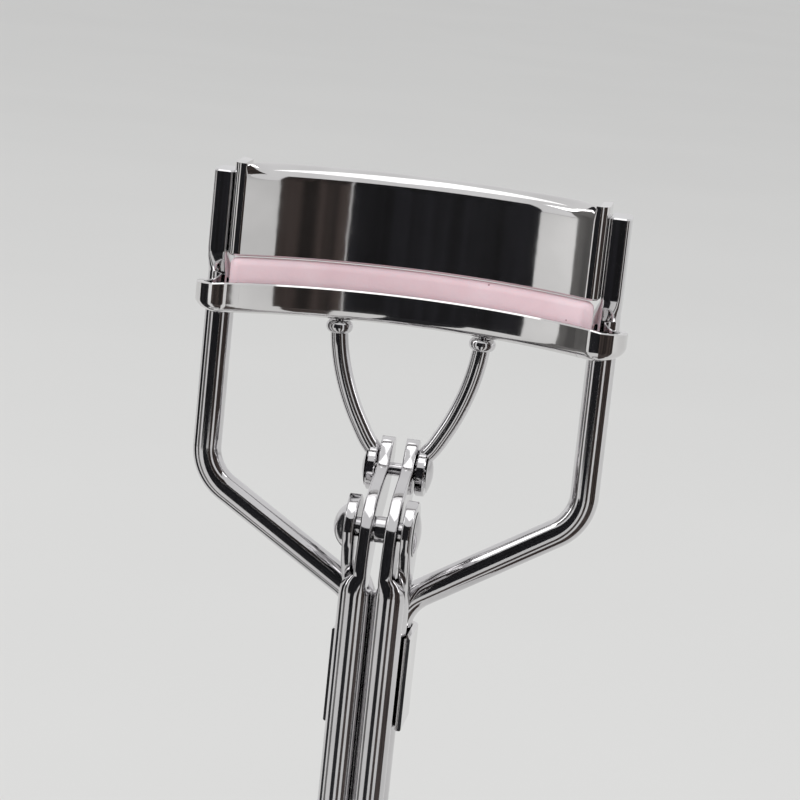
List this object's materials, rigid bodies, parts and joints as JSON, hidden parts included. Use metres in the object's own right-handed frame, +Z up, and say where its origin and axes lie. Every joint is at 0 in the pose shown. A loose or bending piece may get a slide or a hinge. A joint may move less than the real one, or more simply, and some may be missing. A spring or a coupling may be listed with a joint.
{
  "type": "eyelash curler",
  "caption": "Hand-held wire eyelash curler: curved jaws with an elastic strip, closed by squeezing two ring handles.",
  "frame": {"origin": "under the main pivot, level with the bottom of the two finger rings", "axes": "+Z up from the rings to the jaws, X along the width of the jaws, -Y towards the squeezed lever"},
  "size_m": [0.0436, 0.0572, 0.1079],
  "materials": {
    "chrome_wire": "mirror-plated round wire",
    "chrome_sheet": "mirror-plated pressed sheet",
    "chrome_rivet": "plated, peened",
    "pink_pad": "smooth matt silicone"
  },
  "bodies": {
    "frame": {"rear_handle": "chrome_wire", "rail_right": "chrome_wire", "rail_left": "chrome_wire", "upper_jaw": "chrome_sheet", "joint_clip": "chrome_sheet", "pivot_rivet": "chrome_rivet", "pivot_collar": "chrome_rivet"},
    "lever": {"lever_handle": "chrome_wire", "link_rivet": "chrome_rivet"},
    "jaw": {"lower_jaw": "chrome_sheet", "lash_pad": "pink_pad"},
    "links": {"link_right": "chrome_wire", "link_left": "chrome_wire"}
  },
  "joints": [
    {"name": "lever_pivot", "type": "hinge", "parent": "frame", "child": "lever", "pos_m": [0, 0, 0.0734], "axis": [-1, 0, 0], "range_deg": [0, 45]},
    {"name": "jaw_slide", "type": "slide", "parent": "frame", "child": "jaw", "axis": [0, 0, -1], "range_m": [0, 0.007]},
    {"name": "link_swing", "type": "hinge", "parent": "jaw", "child": "links", "pos_m": [0, 0.00683, 0.09325], "axis": [1, 0, 0], "range_deg": [0, 6]}
  ],
  "couplings": [
    {"joint": "jaw_slide", "follows": "lever_pivot", "m_per_rad": 0.008723},
    {"joint": "link_swing", "follows": "lever_pivot", "ratio": 0.1125}
  ]
}
